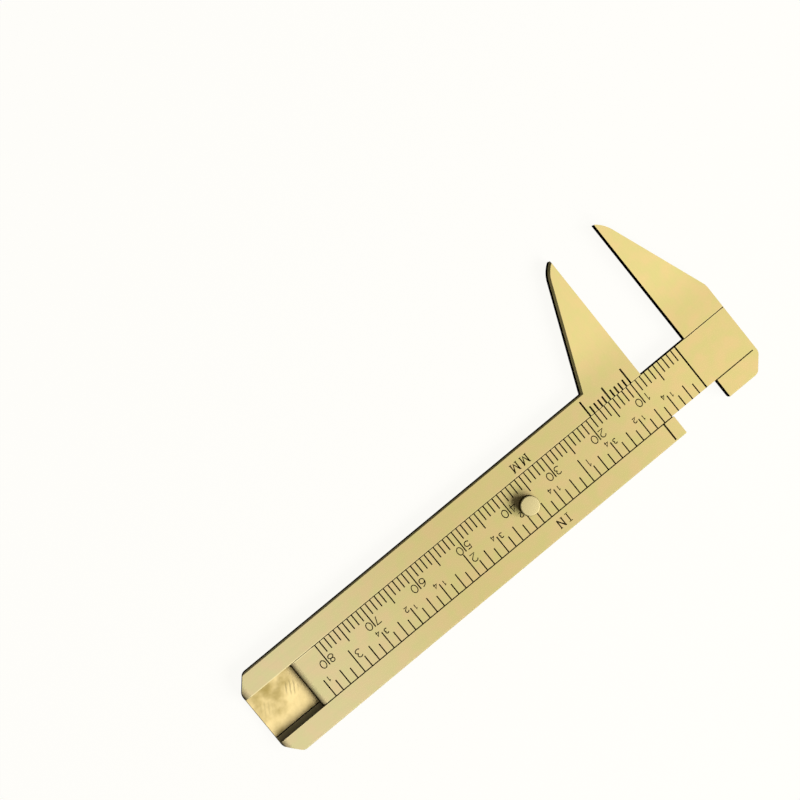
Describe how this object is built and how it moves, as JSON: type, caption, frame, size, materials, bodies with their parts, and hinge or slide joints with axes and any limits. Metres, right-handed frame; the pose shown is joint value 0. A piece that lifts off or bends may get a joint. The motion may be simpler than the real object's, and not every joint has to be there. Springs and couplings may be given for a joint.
{
  "type": "slide caliper",
  "caption": "Pocket slide caliper in brass: a graduated slide with a moving jaw runs in a dovetail channel beside a fixed jaw with a vernier.",
  "frame": {"origin": "middle of the body's back face, on the slide's centre line", "axes": "+X along the body towards higher readings, -Y towards the jaw tips, +Z out of the scale face"},
  "size_m": [0.1059, 0.0378, 0.0043],
  "materials": {
    "polished_brass": "polished, fine scratches",
    "slide_brass": "fine brushed along the slide",
    "hard_brass": "rolled, scratched",
    "turned_brass": "turned and polished"
  },
  "bodies": {
    "body": {"body": "polished_brass", "friction_strip": "hard_brass", "stop_pin": "turned_brass"},
    "slide": {"slide_bar": "slide_brass", "moving_head": "polished_brass", "thumb_knob": "turned_brass"}
  },
  "joints": [
    {"name": "slide_travel", "type": "slide", "parent": "body", "child": "slide", "axis": [-1, 0, 0], "range_m": [-0.00985, 0.07015]}
  ]
}
